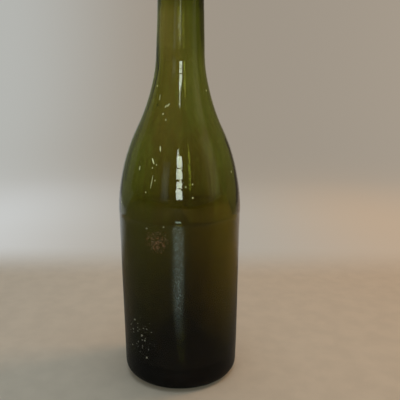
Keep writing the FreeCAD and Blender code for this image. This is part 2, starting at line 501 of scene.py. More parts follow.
@dataclass(frozen=True)
class GlassFinish:
    """Olive-green bottle glass, bright where it was blown free and matt where the mould chilled it.

    Places on the glass are in metres.
    """

    refraction: float = 1.52
    passed_colour: Colour = (0.586, 0.626, 0.10)
    depth_of_colour: float = 675.0
    # Tones of the polished glass. The brown at the front middle up high and at the left lower down is
    # painted warm light seen through the glass; the random upright streaks are the glass's own.
    brown_shoulder: Colour = (1.0, 0.91, 0.84)
    brown_body: Colour = (0.90, 0.80, 0.74)
    green_streak: Colour = (0.98, 1.0, 0.94)
    low_tint: Colour = (0.78, 0.70, 0.66)
    high_part: Fade = Fade(0.150, 0.195)
    low_part: Fade = Fade(0.11, 0.16, 1.0, 0.0)
    warm_light_middle: float = 0.002
    warm_light_band: Fade = Fade(0.014, 0.028, 1.0, 0.0)
    warm_light_side: Fade = Fade(-0.005, 0.008, 1.0, 0.0)
    streak_grain: Grain = Grain(240.0, 3.0, 0.6, (1.0, 1.0, 0.06))
    streak_strength: Fade = Fade(0.25, 0.75, -0.9, 0.9)
    streak_edge: Fade = Fade(0.15, 0.85)
    thick_grain: Grain = Grain(430.0, 2.0, 0.5, (1.0, 1.0, 0.05))
    thick_shade: Fade = Fade(0.3, 0.7, 0.90, 1.03)
    # Tint of the moulded skin with painted side light: pale grey at the left, brown in the middle, warm and
    # bright at the right; dull_shade makes it darker towards the heel.
    moulded_tint_and_side_light: Sweep = Sweep(
        (0.62, 0.60, 0.62), (0.48, 0.385, 0.40), (1.0, 0.80, 0.62), Fade(0.0, 0.007), Fade(0.014, 0.036)
    )
    dull_shade: Fade = Fade(0.03, 0.12, 0.60, 1.0)
    # Pale colour of the seeds: a painted glint.
    painted_seed_glint: Colour = (0.95, 0.95, 0.55)
    polished_roughness: float = 0.02
    inside_roughness: float = 0.03
    mark_roughness: float = 0.9
    mould_grain: Grain = Grain(120.0, 4.0, 0.6)
    moulded_roughness: Fade = Fade(0.2, 0.8, 0.124, 0.186)
    bore_roughness: float = 0.16
    bore_foot: Fade = Fade(0.222, 0.230)
    bore_top: Fade = Fade(0.258, 0.268, 1.0, 0.0)
    film: float = 0.012
    film_height: Fade = Fade(0.015, 0.09, 1.0, 0.25)
    film_grain: Grain = Grain(330.0, 5.0, 0.7)
    film_cover: Fade = Fade(0.45, 0.75)
    haze_place: Triple = (0.001, -0.040, 0.033)
    haze_reach: Fade = Fade(0.012, 0.030, 3.0, 0.0)
    haze_grain: Grain = Grain(420.0, 6.0, 0.75)
    haze_cover: Fade = Fade(0.50, 0.70)
    relief: float = 0.00012
    chill: float = 0.7
    chill_grain: Grain = Grain(210.0, 3.0)
    pitting: float = 0.05
    pitting_grain: Grain = Grain(1500.0)
    ringing: float = 0.10
    ring_scale: float = 1045.0
    ring_grain: Grain = Grain(150.0)
    ring_change: Fade = Fade(0.3, 0.7, 0.86, 1.08)
    ring_height: Fade = Fade(0.025, 0.062, 0.6, 1.0)
    drawn: float = 0.3
    drawn_inside: float = 1.5
    drawn_grain: Grain = Grain(160.0, 1.0, 0.5, (1.0, 1.0, 0.12))
    waviness: float = 0.4
    wave_grain: Grain = Grain(300.0)
    hairline_place: float = 0.0004
    hairline_ridge: Fade = Fade(0.0, 0.0009, 0.6, 0.0)
    hairline_front: Fade = Fade(-0.010, -0.006, 1.0, 0.0)
    hairline_foot: Fade = Fade(0.222, 0.231)
    ragged_grain: Grain = Grain(900.0)
    raggedness: float = 0.0016
    fleck_edge: tuple[float, float] = (0.45, 0.6)
    patch_core: float = 0.35
    cell_edge: Fade = Fade(0.16, 0.36, 1.0, 0.0)
    flecks: tuple[Fleck, ...] = (
        Fleck(114.0, -118.5, 0.9),
        Fleck(116.2, -102.1, 0.7),
        Fleck(47.5, -138.1, 0.9),
        Fleck(37.9, -128.6, 1.2),
        Fleck(27.4, -143.7, 0.8),
        Fleck(35.0, -124.9, 0.8),
        Fleck(22.8, -123.1, 1.2),
    )
    patches: tuple[FleckPatch, ...] = (
        FleckPatch(Residue.RUST, 105.5, -108.5, 10.0, 0.75, 0.9),
        FleckPatch(Residue.CHALK, 36.0, -131.0, 17.0, 1.1, 0.12),
        FleckPatch(Residue.CHALK, 30.0, 60.0, 24.0, 1.7, 0.2),
    )

    def make(self, bottle: "BlownBottle") -> bpy.types.Material:
        """Make the material.

        Args:
            bottle: The bottle that is dressed, which says where its surface is.

        Returns:
            The material.
        """
        material, bench = new_material("olive_bottle_glass")
        moulded = bench.attribute("moulded")
        inside = bench.attribute("inside")
        seed = bench.attribute("seed")
        outside = bench.less(1.0, inside)
        chalk = bench.times(self.marks(bench, bottle, Residue.CHALK), outside)
        rust = bench.times(self.marks(bench, bottle, Residue.RUST), outside)
        mark = bench.most(bench.most(chalk, rust), seed)
        # Seeds are coloured pale: a painted glint in place of the light a bubble catches.
        colour = bench.tinge(seed, self.tint(bench, moulded), self.painted_seed_glint)
        colour = bench.tinge(chalk, colour, Residue.CHALK.value)
        colour = bench.tinge(rust, colour, Residue.RUST.value)
        mould_dullness = bench.pattern(self.mould_grain, self.moulded_roughness)
        dulled = bench.blend(moulded, self.polished_roughness, mould_dullness)
        roughness = bench.blend(inside, dulled, self.bore_dullness(bench))
        film = bench.times(self.dust(bench), bench.times(moulded, self.film))
        surface = {
            "Base Color": colour,
            "Roughness": bench.blend(mark, roughness, self.mark_roughness),
            "IOR": self.refraction,
            "Transmission Weight": bench.less(1.0, bench.most(mark, film)),
            "Normal": self.relieved(bench, moulded, inside),
        }
        body = {"Color": self.passed_colour, "Density": self.depth_of_colour}
        skin = bench.shader("BsdfPrincipled", surface)
        bench.add("OutputMaterial", {"Surface": skin, "Volume": bench.shader("VolumeAbsorption", body)})
        return material

    def marks(self, bench: NodeBench, bottle: "BlownBottle", residue: Residue) -> Socket:
        """Where one kind of residue lies.

        Args:
            bench: Where the nodes go.
            bottle: The bottle that is dressed.
            residue: Which residue.

        Returns:
            1 on a mark and 0 beside it.
        """
        ragged = bench.ragged(self.ragged_grain, self.raggedness)
        found: Value = 0.0
        for patch in self.patches:
            if patch.residue is residue:
                spread = patch.spread * MM
                away = bench.reach(bench.place, bottle.on_outside(patch.height, patch.turn))
                near = bench.fade(away, Fade(self.patch_core * spread, spread, 1.0, 0.0))
                distance, own = bench.cells(ragged, 1.0 / (patch.grain * MM))
                chosen = bench.under(own, bench.times(near, patch.cover))
                found = bench.most(found, bench.times(chosen, bench.fade(distance, self.cell_edge)))
        if residue is Residue.CHALK:
            inner, outer = self.fleck_edge
            half = self.raggedness / 2
            for fleck in self.flecks:
                middle = bottle.on_outside(fleck.height, fleck.turn) + Vector((half, half, half))
                size = fleck.size * MM
                edge = Fade(inner * size, outer * size, 1.0, 0.0)
                found = bench.most(found, bench.fade(bench.reach(ragged, middle), edge))
        return found

    def tint(self, bench: NodeBench, moulded: Socket) -> Socket:
        """Colour that the skin adds to that of the glass, with painted light in it.

        Args:
            bench: Where the nodes go.
            moulded: 1 on the moulded skin.

        Returns:
            The colour: brown beside green in upright streaks, with painted warm light as brown at the front
                middle up high and at the left lower down, darker towards the bottom, and on the moulded
                skin a matt tint with painted side light, pale at the left and warm and bright at the right,
                darker towards the heel.
        """
        across = bench.axes["X"]
        height = bench.axes["Z"]
        # Painted warm light: brown at the front middle up high and at the left lower down.
        band = bench.fade(bench.maths("ABSOLUTE", bench.less(across, self.warm_light_middle)), self.warm_light_band)
        high = bench.fade(height, self.high_part)
        warm_light_share = bench.blend(high, band, bench.fade(across, self.warm_light_side))
        streaked = bench.plus(warm_light_share, bench.pattern(self.streak_grain, self.streak_strength))
        brown = bench.tinge(high, self.brown_body, self.brown_shoulder)
        colour = bench.tinge(bench.fade(streaked, self.streak_edge), self.green_streak, brown)
        colour = bench.scaled(colour, bench.pattern(self.thick_grain, self.thick_shade))
        # Darker towards the bottom.
        darker_below = bench.tinge(bench.fade(height, self.low_part), PLAIN, self.low_tint)
        colour = bench.vectors("MULTIPLY", {0: colour, 1: darker_below})
        # Painted side light on the moulded skin: pale at the left, warm and bright at the right.
        moulded_tint_and_side_light = bench.scaled(bench.across(self.moulded_tint_and_side_light), bench.fade(height, self.dull_shade))
        return bench.tinge(moulded, colour, moulded_tint_and_side_light)

    def bore_dullness(self, bench: NodeBench) -> Socket:
        """Roughness of the inside, which dried wine has dulled in the upper neck.

        Args:
            bench: Where the nodes go.

        Returns:
            The roughness.
        """
        height = bench.axes["Z"]
        dried = bench.times(bench.fade(height, self.bore_foot), bench.fade(height, self.bore_top))
        return bench.blend(dried, self.inside_roughness, self.bore_roughness)

    def dust(self, bench: NodeBench) -> Socket:
        """Thin film on the matt moulded skin, thicker towards the heel and in a hazy patch on its front.

        Args:
            bench: Where the nodes go.

        Returns:
            The film's thickness, as a share of its usual one.
        """
        low = bench.fade(bench.axes["Z"], self.film_height)
        thin = bench.times(low, bench.pattern(self.film_grain, self.film_cover))
        near = bench.fade(bench.reach(bench.place, Vector(self.haze_place)), self.haze_reach)
        return bench.plus(thin, bench.times(near, bench.pattern(self.haze_grain, self.haze_cover)))

    def hairline(self, bench: NodeBench) -> Socket:
        """Fine upright ridge that was drawn along the front of the neck.

        Args:
            bench: Where the nodes go.

        Returns:
            The ridge's height, as a share of the relief.
        """
        off = bench.maths("ABSOLUTE", bench.less(bench.axes["X"], self.hairline_place))
        front = bench.fade(bench.axes["Y"], self.hairline_front)
        above = bench.fade(bench.axes["Z"], self.hairline_foot)
        return bench.times(bench.fade(off, self.hairline_ridge), bench.times(front, above))

    def relieved(self, bench: NodeBench, moulded: Socket, inside: Socket) -> Socket:
        """Relief finer than the mesh: ringed, chilled skin below the mould line, drawn lines above it.

        Args:
            bench: Where the nodes go.
            moulded: 1 on the moulded skin.
            inside: 1 on the inside.

        Returns:
            The normal.
        """
        chill = bench.times(bench.lumps(self.chill_grain), self.chill)
        pitting = bench.times(bench.lumps(self.pitting_grain), self.pitting)
        drawn = bench.times(bench.lumps(self.drawn_grain), self.drawn)
        waves = bench.times(bench.lumps(self.wave_grain), self.waviness)
        blown = bench.plus(bench.plus(drawn, waves), self.hairline(bench))
        lines = bench.add("TexWave", {"Vector": bench.place, "Scale": self.ring_scale}, bands_direction="Z")
        change = bench.times(bench.pattern(self.ring_grain, self.ring_change), self.ringing)
        above_heel = bench.fade(bench.axes["Z"], self.ring_height)
        rings = bench.times(bench.times(lines.outputs["Fac"], above_heel), change)
        skin = bench.blend(moulded, blown, bench.plus(rings, bench.plus(chill, pitting)))
        height = bench.blend(inside, skin, bench.times(drawn, self.drawn_inside))
        return bench.shader("Bump", {"Strength": 1.0, "Distance": self.relief, "Height": height})


@dataclass(frozen=True)
class CorkFinish:
    """Natural cork: tan, with dark pores, growth lines and a foot that wine has stained."""

    pale: Colour = (0.52, 0.33, 0.165)
    deep: Colour = (0.34, 0.19, 0.085)
    pore: Colour = (0.085, 0.038, 0.018)
    stain: Colour = (0.10, 0.022, 0.03)
    mottle_grain: Grain = Grain(260.0, 6.0, 0.65)
    mottle_edge: Fade = Fade(0.32, 0.68)
    mottle_roughness: Fade = Fade(0.3, 0.7, 0.78, 0.95)
    mottle_relief: float = 0.5
    growth_grain: Grain = Grain(900.0, 3.0, 0.5, (1.0, 0.25, 0.12))
    growth_lines: Fade = Fade(0.5, 0.72, 0.0, 0.5)
    ragged_grain: Grain = Grain(700.0, 3.0)
    raggedness: float = 0.0012
    pore_stretch: Triple = (1.0, 0.45, 1.0)
    pore_scale: float = 330.0
    pore_edge: Fade = Fade(0.18, 0.34, 1.0, 0.0)
    pore_cover: float = 0.42
    pore_depth: float = 0.9
    stain_edge: tuple[float, float] = (0.004, 0.011)
    stain_creep: float = 0.008
    stain_depth: float = 0.85
    relief: float = 0.00035

    def make(self, foot: float) -> bpy.types.Material:
        """Make the material.

        Args:
            foot: Height of the cork's lower end, in metres.

        Returns:
            The material.
        """
        material, bench = new_material("stopper_cork")
        mottle = bench.lumps(self.mottle_grain)
        colour = bench.tinge(bench.fade(mottle, self.mottle_edge), self.pale, self.deep)
        colour = bench.tinge(bench.pattern(self.growth_grain, self.growth_lines), colour, self.deep)
        ragged = bench.ragged(self.ragged_grain, self.raggedness)
        drawn_out = bench.vectors("MULTIPLY", {0: ragged, 1: self.pore_stretch})
        distance, own = bench.cells(drawn_out, self.pore_scale)
        pores = bench.times(bench.fade(distance, self.pore_edge), bench.under(own, self.pore_cover))
        colour = bench.tinge(bench.times(pores, self.pore_depth), colour, self.pore)
        low, high = self.stain_edge
        crept = bench.plus(bench.axes["Z"], bench.times(mottle, self.stain_creep))
        wet = bench.fade(crept, Fade(foot + low, foot + high, self.stain_depth, 0.0))
        relief = bench.less(bench.times(mottle, self.mottle_relief), pores)
        surface = {
            "Base Color": bench.tinge(wet, colour, self.stain),
            "Roughness": bench.fade(mottle, self.mottle_roughness),
            "Normal": bench.shader("Bump", {"Distance": self.relief, "Height": relief}),
        }
        bench.add("OutputMaterial", {"Surface": bench.shader("BsdfPrincipled", surface)})
        return material


@dataclass(frozen=True)
class Cord:
    """Upright ridge, or hollow, on the inside of the wall where the glass was stiffer.

    Attributes:
        turn: Angle of its middle about the axis, in degrees.
        spread: Half its width, in degrees.
        rise: How far it stands into the hollow, as a share of the radius.
        foot: Height above which it shows, in millimetres.
        early: How far below the foot it begins.
        late: How far above the foot it is full.
    """

    turn: float
    spread: float
    rise: float
    foot: float
    early: float = 8.0
    late: float = 4.0

    @cached_property
    def run_in(self) -> Fade:
        """How it rises from its foot."""
        return Fade(self.foot - self.early, self.foot + self.late)

    def depth(self, turn: float, height: float, radius: float) -> float:
        """How far the inside stands in at an angle in degrees, a height and a radius."""
        off = ((turn - self.turn + 180.0) % 360.0 - 180.0) / self.spread
        return self.rise * radius * math.exp(-0.5 * off * off) * self.run_in.at(height)


@dataclass(frozen=True)
class Seed:
    """Seed that rose to the skin of the glass: a blister, drawn out as the bottle was blown, whose pale
    colour is a painted glint.

    Attributes:
        height: Height of its middle, in millimetres.
        turn: Angle of its middle about the axis, in degrees.
        width: Its width, in millimetres.
        length: Its length, in millimetres.
        lean: How far its upper end leans back round the bottle, in degrees.
        standing: How far it stands out of the skin, as a share of its width.
        half: Half its visible width, as a share of its width.
    """

    height: float
    turn: float
    width: float
    length: float
    lean: float = 0.0
    standing: float = 0.16
    half: float = 0.42

    def shape(self, radius: float, slope: float) -> Matrix:
        """Placing of a ball of radius 1.

        Args:
            radius: Radius of the glass there, in millimetres.
            slope: How fast the radius grows with the height.

        Returns:
            The matrix that lays the ball on the skin as this seed, flatter than it is wide.
        """
        round_axis = Matrix.Rotation(math.radians(self.turn), 4, "Z")
        out = Matrix.Translation(spot(radius, self.height))
        sloping = Matrix.Rotation(math.atan(slope), 4, "Y")
        leaning = Matrix.Rotation(math.radians(self.lean), 4, "X")
        size = Matrix.Diagonal((self.standing * self.width, self.half * self.width, self.length / 2, 1.0))
        return round_axis @ out @ sloping @ leaning @ size


@dataclass
class BlownBottle:
    """The bottle with its applied lip, one skin of glass as the two are melted together.

    Sizes are in millimetres, and the angles in degrees.
    """

    body_height: float = 117.7
    body_radius: float = 42.0
    mould_ledge: float = 0.3
    foot_radius: float = 40.0
    heel_radius: float = 8.2
    rest_ring_width: float = 3.2
    shoulder_rise: float = 110.8
    shoulder_arc_radius: float = 133.2
    neck_length: float = 71.5
    neck_root_radius: float = 15.7
    neck_taper: float = 1.4
    rim_outer_round: float = 1.08
    rim_inner_round: float = 1.5
    neck_wall: float = 2.5
    body_wall: float = 3.6
    foot_wall: float = 5.0
    base_thickness: float = 10.0
    bore_radius: float = 9.4
    bore_length: float = 24.0
    flare_length: float = 26.0
    flare_round: float = 60.0
    punt_depth: float = 33.0
    punt_apex_radius: float = 8.0
    punt_flank: float = 20.4
    punt_wall: float = 7.0
    lip_thickness: float = 2.1
    lip_height: float = 13.5
    lip_setback: float = 1.5
    lip_foot_round: float = 1.445
    lip_top_round: float = 1.36
    weld_round: float = 0.28
    pace: float = 2.2
    segments: int = 176
    free_foot: Fade = Fade(4.0, 26.0)
    free_top: Fade = Fade(258.0, 275.0, 1.0, 0.0)
    blown: Fade = Fade(-1.0, 3.0)
    ovality: float = 0.18
    oval_turn: float = 34.377
    lean: float = 0.88
    lean_height: float = 275.0
    bow: float = 1.1
    bow_foot: Fade = Fade(174.0, 238.0)
    bow_top: Fade = Fade(242.0, 276.0, 1.0, 0.0)
    dent: float = 1.0
    dent_height: float = 221.0
    dent_length: float = 8.5
    bore_wander: float = 0.85
    bore_foot: Fade = Fade(212.0, 240.0)
    bore_top: Fade = Fade(262.0, 275.0, 1.0, 0.0)
    inner_bands: Wander = Wander(0.5, 1.3, 90.0, (7.1, 0.0))
    inner_flutes: Wander = Wander(0.16, 5.0, 160.0, (0.0, 3.3))
    mould_waves: Wander = Wander(0.05, 1.9, 24.0, (0.0, 5.7))
    blown_waves: Wander = Wander(0.12, 1.9, 24.0, (0.0, 5.7))
    blown_lines: Wander = Wander(0.04, 6.0, 120.0, (2.2, 0.0))
    ledge_wander: Wander = Wander(0.5, 2.4, 12.521)
    ledge_reach: Fade = Fade(0.5, 7.0, 1.0, 0.0)
    cords: tuple[Cord, ...] = (
        Cord(-79.8, 2.6, 0.0138, 121.0),
        Cord(-69.0, 4.0, 0.013, 121.0),
        Cord(-55.0, 6.0, -0.008, 121.0),
        Cord(-36.0, 22.0, -0.02, 24.0),
        Cord(-130.0, 7.0, -0.008, 121.0),
    )
    seeds: tuple[Seed, ...] = (
        Seed(202.9, -139.3, 0.7, 1.1),
        Seed(195.8, -126.4, 0.4, 4.0, 5.0),
        Seed(191.1, -107.4, 0.7, 2.8, -35.0),
        Seed(190.3, -111.7, 0.6, 2.2, -30.0),
        Seed(185.6, -114.4, 0.9, 1.2),
        Seed(182.1, -108.5, 0.6, 1.3),
        Seed(164.5, -109.3, 0.9, 3.8, 10.0),
        Seed(156.8, -115.5, 1.0, 4.4, 28.0),
        Seed(154.7, -111.2, 0.6, 0.8),
        Seed(152.7, -115.3, 0.6, 0.9),
        Seed(151.7, -130.6, 0.6, 3.0),
        Seed(145.1, -111.3, 0.6, 0.9),
        Seed(144.3, -114.4, 0.4, 9.0, -6.0),
        Seed(143.2, -76.1, 0.7, 0.8),
        Seed(141.6, -82.4, 0.7, 0.9),
        Seed(137.3, -119.9, 0.8, 1.0),
        Seed(134.9, -76.3, 1.0, 1.1),
    )
    stray_seeds: int = 24
    stray_width: tuple[float, float] = (0.35, 0.8)
    stray_height: tuple[float, float] = (125.0, 225.0)
    stray_stretch: tuple[float, float] = (1.0, 4.0)
    stray_turn: tuple[float, float] = (-30.0, 210.0)
    stray_lean: tuple[float, float] = (-25.0, 25.0)
    finish: GlassFinish = field(default_factory=GlassFinish)

    def __post_init__(self) -> None:
        """Work out the centres and angles that the outside and the inside share."""
        self.neck_root = self.body_height + self.shoulder_rise
        self.mouth = self.neck_root + self.neck_length
        self.taper = math.radians(self.neck_taper)
        self.heel = spot(self.foot_radius - self.heel_radius, self.heel_radius)
        self.shoulder = spot(self.body_radius - self.shoulder_arc_radius, self.body_height)
        root = self.neck_surface(self.neck_root)
        reach = root - self.shoulder
        out = along(self.taper)
        spare = self.shoulder_arc_radius - reach.dot(out)
        self.sweep_radius = (reach.dot(reach) - self.shoulder_arc_radius ** 2) / (2 * spare)
        self.sweep = root + out * self.sweep_radius
        to_sweep = self.sweep - self.shoulder
        self.turn = math.atan2(to_sweep.z, to_sweep.x)
        drawn_in = (self.body_wall - self.neck_wall) / (1 - math.cos(self.turn))
        self.inner_radius = self.shoulder_arc_radius - self.neck_wall - drawn_in
        self.inner_shoulder = self.shoulder + along(self.turn) * drawn_in
        self.apex = spot(0.0, self.punt_depth - self.punt_apex_radius)
        self.flank = math.radians(self.punt_flank)
        slope = along(self.flank)
        flank_reach = self.apex.dot(slope) + self.punt_apex_radius
        ring_inside = self.heel.x - self.rest_ring_width
        self.skirt_radius = (ring_inside * slope.x - flank_reach) / (1 - slope.z)
        self.skirt = spot(ring_inside, self.skirt_radius)
        foot_corner = spot(self.foot_radius - self.foot_wall, self.base_thickness)
        room = foot_corner.dot(slope) - flank_reach - self.punt_wall
        self.valley_radius = room / (1 + slope.x - slope.z)
        self.valley = foot_corner + spot(-self.valley_radius, self.valley_radius)

    def neck_surface(self, height: float) -> Vector:
        """Point of the section on the outside of the straight neck."""
        return spot(self.neck_root_radius - (height - self.neck_root) * math.tan(self.taper), height)

    def outside_radius(self, height: float) -> float:
        """Radius of the outside.

        Args:
            height: Height above the rest ring, from the heel to the lip.

        Returns:
            The radius of the true form at that height.
        """
        if height < self.body_height:
            climb = (height - self.heel_radius) / (self.body_height - self.heel_radius)
            return self.foot_radius + climb * (self.body_radius - self.mould_ledge - self.foot_radius)
        rise = height - self.shoulder.z
        if rise < self.shoulder_arc_radius * math.sin(self.turn):
            return self.shoulder.x + math.sqrt(self.shoulder_arc_radius ** 2 - rise ** 2)
        if height < self.neck_root:
            return self.sweep.x - math.sqrt(self.sweep_radius ** 2 - (height - self.sweep.z) ** 2)
        return self.neck_surface(height).x

    def on_outside(self, height: float, turn: float) -> Vector:
        """Point on the finished outside.

        Args:
            height: Height in millimetres.
            turn: Angle about the axis in degrees, from the right side of the front view.

        Returns:
            The point, in metres.
        """
        radius = self.outside_radius(height)
        angle = math.radians(turn)
        point = Vector((radius * math.cos(angle), radius * math.sin(angle), height))
        return self.uneven(point, False) * MM

    def draw_outside(self) -> HalfSection:
        """Draw the outside.

        Returns:
            Section from the top of the push-up, over the heel, the shoulder and the lip, to the mouth.
        """
        section = HalfSection(spot(0.0, self.punt_depth), self.pace)
        section.arc(self.apex, self.punt_apex_radius, QUARTER_TURN, self.flank)
        section.arc(self.skirt, self.skirt_radius, HALF_TURN + self.flank, HALF_TURN + QUARTER_TURN)
        section.skin = Skin.MOULDED
        body_top = spot(self.body_radius - self.mould_ledge, self.body_height - self.mould_ledge)
        gap = body_top - self.heel
        side = math.atan2(gap.z, gap.x) - math.acos(self.heel_radius / gap.length)
        section.arc(self.heel, self.heel_radius, -QUARTER_TURN, side)
        section.line(body_top)
        section.skin = Skin.POLISHED
        section.arc(self.shoulder, self.shoulder_arc_radius, 0.0, self.turn)
        section.arc(self.sweep, self.sweep_radius, HALF_TURN + self.turn, HALF_TURN + self.taper)
        self.draw_lip(section)
        return section

    def draw_lip(self, section: HalfSection) -> None:
        """Carry the section from the neck over the lip to the top of the mouth.

        Args:
            section: The section, which ends on the neck.
        """
        top = self.mouth - self.lip_setback
        foot = top - self.lip_height
        seat = self.neck_surface(foot)
        band_foot = spot(seat.x + self.lip_thickness, foot)
        band_top = spot(band_foot.x, top)
        weld = self.neck_surface(top)
        rim_edge = self.neck_surface(self.mouth)
        rim = spot(self.bore_radius, self.mouth)
        section.corner(seat, band_foot, self.weld_round)
        section.corner(band_foot, band_top, self.lip_foot_round)
        section.corner(band_top, weld, self.lip_top_round)
        section.corner(weld, rim_edge, self.weld_round)
        section.corner(rim_edge, rim, self.rim_outer_round)

    def draw_inside(self, section: HalfSection) -> None:
        """Carry the section from the mouth down the bore to the top of the push-up.

        Args:
            section: The section, which ends on top of the mouth.
        """
        section.skin = Skin.INSIDE
        rim = spot(self.bore_radius + self.rim_inner_round, self.mouth - self.rim_inner_round)
        section.arc(rim, self.rim_inner_round, QUARTER_TURN, HALF_TURN)
        wall = along(self.taper) * self.neck_wall
        bore_foot = spot(self.bore_radius, self.mouth - self.bore_length)
        flare_foot = self.neck_surface(bore_foot.z - self.flare_length) - wall
        neck_foot = self.neck_surface(self.neck_root) - wall
        section.corner(bore_foot, flare_foot, self.flare_round)
        section.corner(flare_foot, neck_foot, self.flare_round)
        inner_sweep = self.sweep_radius + self.neck_wall
        section.arc(self.sweep, inner_sweep, HALF_TURN + self.taper, HALF_TURN + self.turn)
        gap = self.inner_shoulder - self.valley
        spare = (self.valley_radius - self.inner_radius) / gap.length
        side = math.atan2(gap.z, gap.x) - math.acos(spare)
        section.arc(self.inner_shoulder, self.inner_radius, self.turn, side)
        section.arc(self.valley, self.valley_radius, side, self.flank - HALF_TURN)
        section.arc(self.apex, self.punt_apex_radius + self.punt_wall, self.flank, QUARTER_TURN)

    def swell(self, out: Vector, height: float, radius: float, inside: bool) -> float:
        """How far the skin stands out from the true form.

        Args:
            out: Direction from the axis.
            height: Height of the place.
            radius: Radius of the true form there.
            inside: Whether the place is on the inside.

        Returns:
            The swell in millimetres.
        """
        turn = math.atan2(out.y, out.x)
        swell = self.ovality * math.cos(2.0 * turn + math.radians(self.oval_turn))
        offset = (height - self.dent_height) / self.dent_length
        facing = (0.5 - 0.5 * out.y) ** 2
        swell += self.dent * offset * math.exp(-0.5 * offset * offset) * facing
        if inside:
            swell += self.inner_bands.at(out, height) + self.inner_flutes.at(out, height)
            return swell - sum(cord.depth(math.degrees(turn), height, radius) for cord in self.cords)
        blown = self.blown.at(height - self.body_height)
        swell += self.mould_waves.at(out, height)
        return swell + blown * (self.blown_waves.at(out, height) + self.blown_lines.at(out, height))

    def uneven(self, point: Vector, inside: bool) -> Vector:
        """Where a point of the true form lies on glass that was blown and drawn by hand.

        Args:
            point: Point of the true form, in millimetres.
            inside: Whether it is on the inside.

        Returns:
            The moved point.
        """
        flat = Vector((point.x, point.y, 0.0))
        radius = flat.length
        if radius < ON_AXIS:
            return point.copy()
        out = flat / radius
        height = point.z
        free = self.free_foot.at(height) * self.free_top.at(height)
        moved = point + out * self.swell(out, height, radius, inside) * free
        moved.x -= self.lean * math.sin(math.pi * min(1.0, height / self.lean_height)) ** 2
        moved.y -= self.bow * self.bow_foot.at(height) * self.bow_top.at(height)
        if inside:
            moved.x -= self.bore_wander * self.bore_foot.at(height) * self.bore_top.at(height)
        near_ledge = self.ledge_reach.at(abs(height - self.body_height))
        moved.z += near_ledge * self.ledge_wander.at(out, self.body_height)
        return moved

    def add_seeds(self, mesh: bmesh.types.BMesh, mark: bmesh.types.BMLayerItem) -> None:
        """Lay seeds on the skin: those of the front, and strays behind.

        Args:
            mesh: The turned mesh, still in millimetres.
            mark: Layer that marks the points of seeds.
        """
        dice = random.Random(STRAY_DRAW)
        seeds = list(self.seeds)
        for _ in range(self.stray_seeds):
            width = dice.uniform(*self.stray_width)
            height = dice.uniform(*self.stray_height)
            length = width * dice.uniform(*self.stray_stretch)
            turn = dice.uniform(*self.stray_turn)
            seeds.append(Seed(height, turn, width, length, dice.uniform(*self.stray_lean)))
        for seed in seeds:
            above = self.outside_radius(seed.height + SEED_REACH)
            below = self.outside_radius(seed.height - SEED_REACH)
            slope = (above - below) / (2 * SEED_REACH)
            shape = seed.shape(self.outside_radius(seed.height), slope)
            ball = bmesh.ops.create_icosphere(mesh, subdivisions=2, radius=1.0, matrix=shape)
            for point in ball["verts"]:
                point[mark] = 1.0

    def build(self) -> bpy.types.Object:
        """Blow the bottle, dress it and hang it on its body.

        Returns:
            The finished piece.
        """
        section = self.draw_outside()
        self.draw_inside(section)
        mesh = section.turned(self.segments)
        self.add_seeds(mesh, section.seed)
        for point in mesh.verts:
            point.co = self.uneven(point.co, point[section.inside] > 0.5)
        piece = finished("bottle_glass", in_metres(mesh), self.finish.make(self))
        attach(piece, "bottle")
        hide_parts("blown_bottle", "applied_lip")
        return piece


@dataclass
class CorkStopper:
    """The cork, squeezed in the bore and swollen above it, in millimetres."""

    bore_radius: float = 9.4
    clearance: float = 0.05
    rim_gap: float = 0.6
    swell: float = 1.85
    swell_length: float = 3.4
    swell_round: float = 2.0
    foot_chamfer: float = 0.9
    head_round: float = 1.1
    proud_length: float = 14.0
    grip_length: float = 22.0
    mouth: float = 300.0
    pace: float = 0.45
    segments: int = 150
    pit_depth: float = 0.5
    pit_size: Triple = (2.2, 5.0, 2.2)
    pit_edge: Fade = Fade(0.28, 0.62)
    fine_pits: float = 2.7
    fine_edge: Fade = Fade(0.3, 0.7, 0.0, 0.4)
    sound_heart: float = 0.8
    head_skin: float = 0.3
    finish: CorkFinish = field(default_factory=CorkFinish)

    def pitted(self, point: Vector) -> Vector:
        """Where a point of the true form lies on bark with pores.

        Args:
            point: Point of the true form, in millimetres.

        Returns:
            The point, drawn in where a pore is.
        """
        flat = Vector((point.x, point.y, 0.0))
        if flat.length < ON_AXIS:
            return point.copy()
        grain = Vector(place / size for place, size in zip(point, self.pit_size))
        pit = self.pit_edge.at(noise.noise(grain)) + self.fine_edge.at(noise.noise(grain * self.fine_pits))
        rim = Fade(0.0, self.bore_radius * self.sound_heart).at(flat.length)
        drawn = point - flat.normalized() * self.pit_depth * pit * rim
        top = self.mouth + self.proud_length
        drawn.z -= self.pit_depth * pit * Fade(top - self.head_skin, top).at(point.z)
        return drawn

    def build(self) -> bpy.types.Object:
        """Cut the cork, dress it and hang it on its body.

        Returns:
            The finished piece.
        """
        plug = self.bore_radius - self.clearance
        foot = self.mouth - self.grip_length
        plug_top = spot(plug, self.mouth + self.rim_gap)
        head_foot = plug_top + spot(self.swell, self.swell_length)
        head_top = spot(head_foot.x, self.mouth + self.proud_length)
        section = HalfSection(spot(0.0, foot), self.pace)
        section.line(spot(plug - self.foot_chamfer, foot))
        section.line(spot(plug, foot + self.foot_chamfer))
        section.corner(plug_top, head_foot, self.swell_round)
        section.corner(head_foot, head_top, self.swell_round)
        section.corner(head_top, spot(0.0, head_top.z), self.head_round)
        section.line(spot(0.0, head_top.z))
        mesh = section.turned(self.segments)
        for point in mesh.verts:
            point.co = self.pitted(point.co)
        piece = finished("cork", in_metres(mesh), self.finish.make(foot * MM))
        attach(piece, "stopper")
        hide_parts("cork_stopper")
        return piece


def in_metres(mesh: bmesh.types.BMesh) -> bmesh.types.BMesh:
    """Mesh that was drawn in millimetres, brought to metres."""
    bmesh.ops.scale(mesh, vec=Vector((MM, MM, MM)), verts=mesh.verts)
    return mesh


